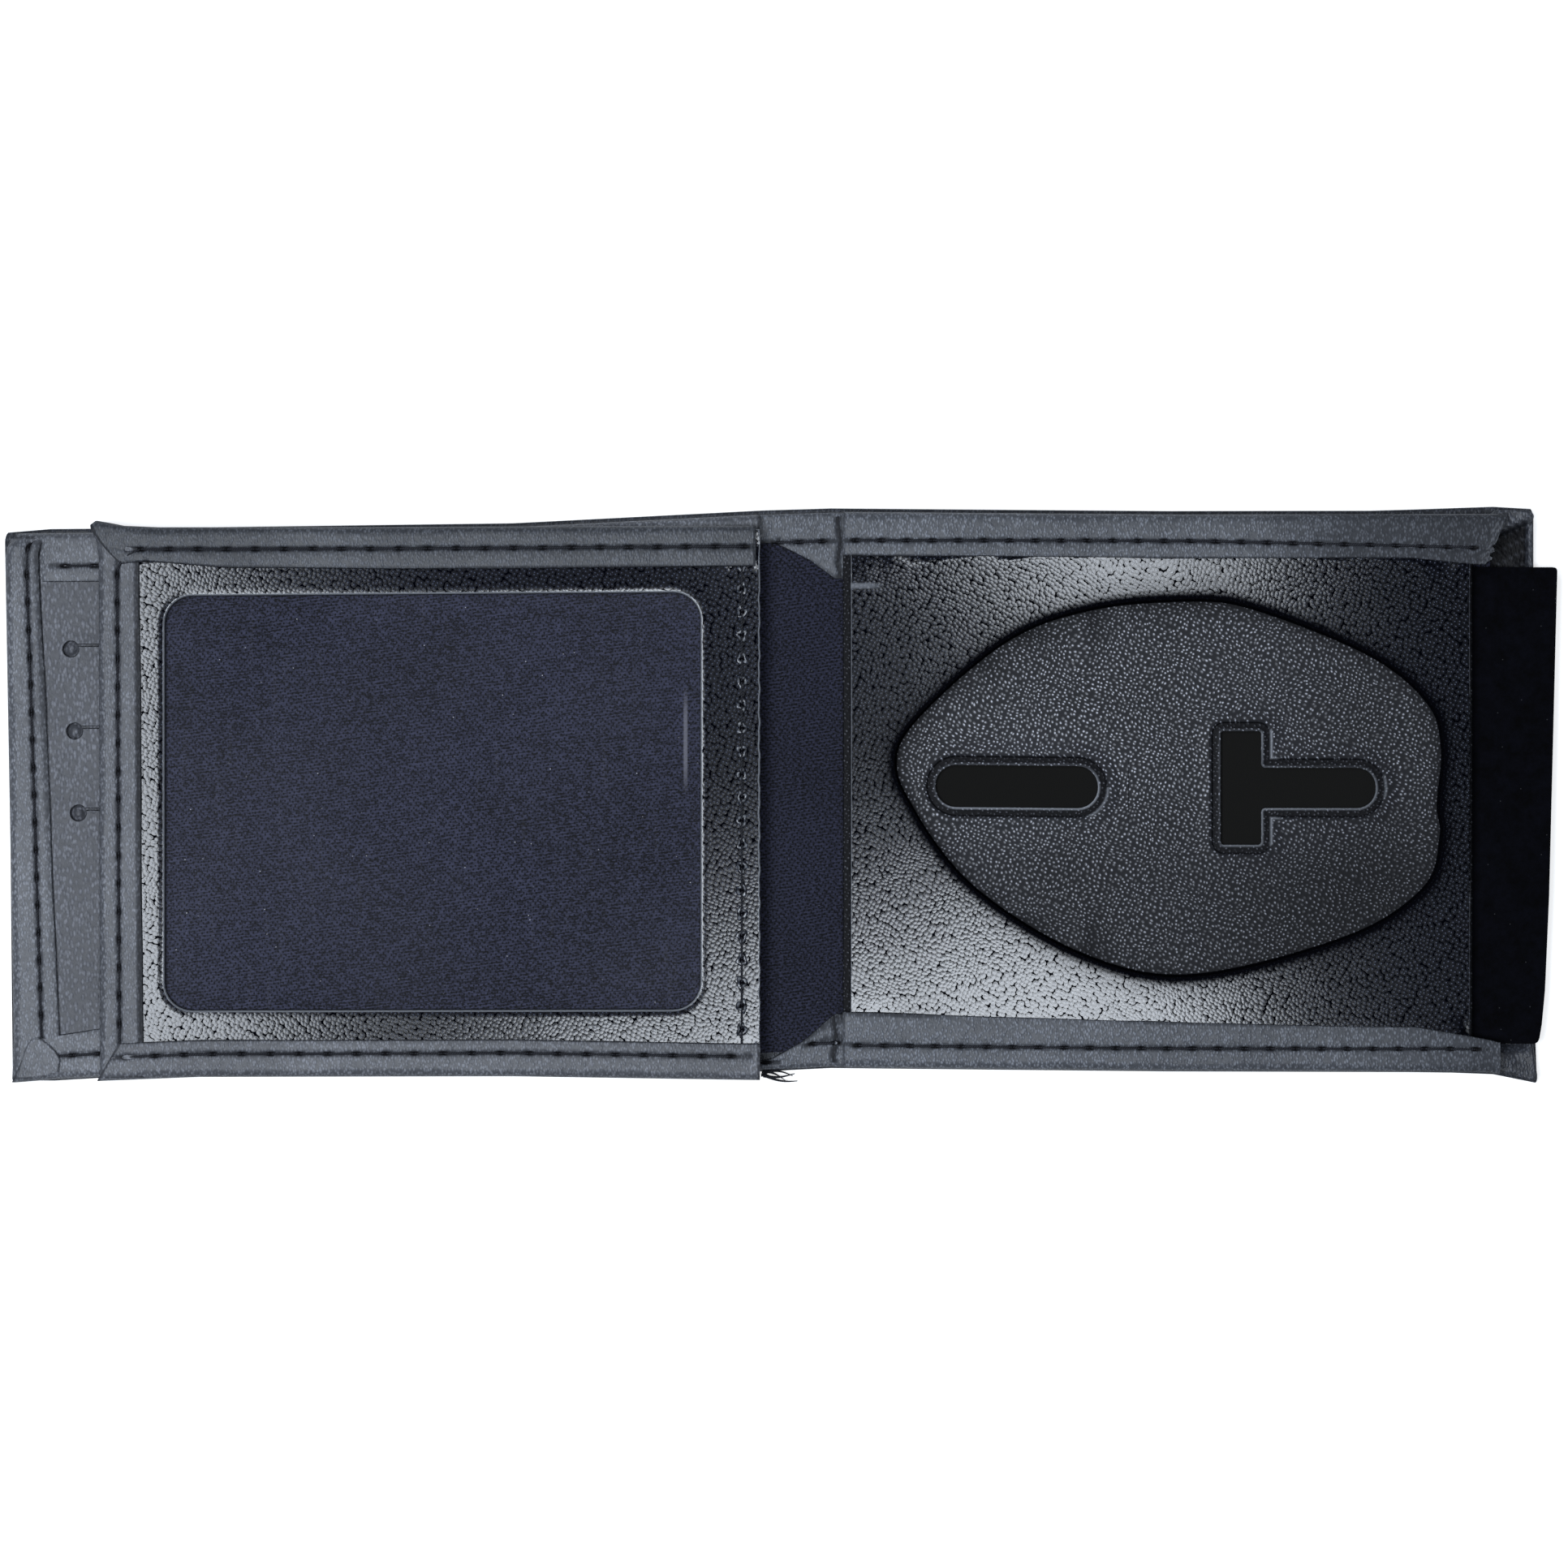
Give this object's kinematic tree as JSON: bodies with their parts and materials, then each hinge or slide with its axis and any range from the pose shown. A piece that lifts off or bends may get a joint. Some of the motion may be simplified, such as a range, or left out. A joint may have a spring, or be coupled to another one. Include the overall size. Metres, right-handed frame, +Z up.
{
  "type": "id badge wallet",
  "caption": "Leather bifold wallet with a flip-out ID window leaf, card slots and a cut-out panel that holds a pinned or clipped badge.",
  "frame": {"origin": "under the middle of the open wallet, on the surface it lies on", "axes": "+X from the ID half to the badge half, +Y to the top edge, +Z up out of the open wallet"},
  "size_m": [0.2276, 0.0832, 0.0068],
  "materials": {
    "cover_leather": "smooth, satin",
    "band_leather": "smooth with fine grain, satin",
    "panel_leather": "fine grain, satin",
    "pebbled_leather": "pebbled, glossy",
    "base_leather": "fine pebble, satin",
    "twill": "twill weave",
    "clear_vinyl": "clear, glossy",
    "guard_board": "stiff board, matt",
    "velour": "velour"
  },
  "bodies": {
    "left_half": {"cover_left": "cover_leather", "left_edge_band": "band_leather", "top_band_left": "band_leather", "bottom_band_left": "band_leather", "lining_left": "twill", "card_slot_panel": "panel_leather", "card_pocket_upper": "twill", "card_pocket_middle": "twill", "card_pocket_lower": "twill", "flap_hinge_tape": "twill"},
    "spine": {"cover_spine": "cover_leather", "lining_spine": "twill", "top_band_spine": "band_leather", "bottom_band_spine": "band_leather"},
    "id_flap": {"flap_window_frame": "pebbled_leather", "flap_clear_window": "clear_vinyl", "flap_backing": "twill", "flap_band_left": "band_leather", "flap_band_top": "band_leather", "flap_band_bottom": "band_leather"},
    "right_half": {"cover_right": "cover_leather", "right_edge_hem": "band_leather", "lining_right": "twill", "top_band_right": "band_leather", "bottom_band_right": "band_leather", "badge_base": "base_leather", "badge_face_panel": "pebbled_leather"},
    "pin_guard": {"pin_guard_board": "guard_board", "pin_guard_velour": "velour"}
  },
  "joints": [
    {"name": "left_crease", "type": "hinge", "parent": "left_half", "child": "spine", "pos_m": [-0.00265, 0, 0.002], "axis": [0, 1, 0], "range_deg": [-90, 0], "deforming": ["cover_spine", "lining_spine", "top_band_spine", "bottom_band_spine"]},
    {"name": "right_crease", "type": "hinge", "parent": "spine", "child": "right_half", "pos_m": [0.00805, 0, 0.002], "axis": [0, 1, 0], "range_deg": [-90, 0]},
    {"name": "id_flap_hinge", "type": "hinge", "parent": "left_half", "child": "id_flap", "pos_m": [-0.00305, 0, 0.0045], "axis": [0, 1, 0], "range_deg": [0, 158], "deforming": ["flap_hinge_tape"]},
    {"name": "pin_guard_slide", "type": "slide", "parent": "right_half", "child": "pin_guard", "axis": [1, 0, 0], "range_m": [0, 0.06]}
  ],
  "couplings": [
    {"joint": "right_crease", "follows": "left_crease", "ratio": 1}
  ]
}
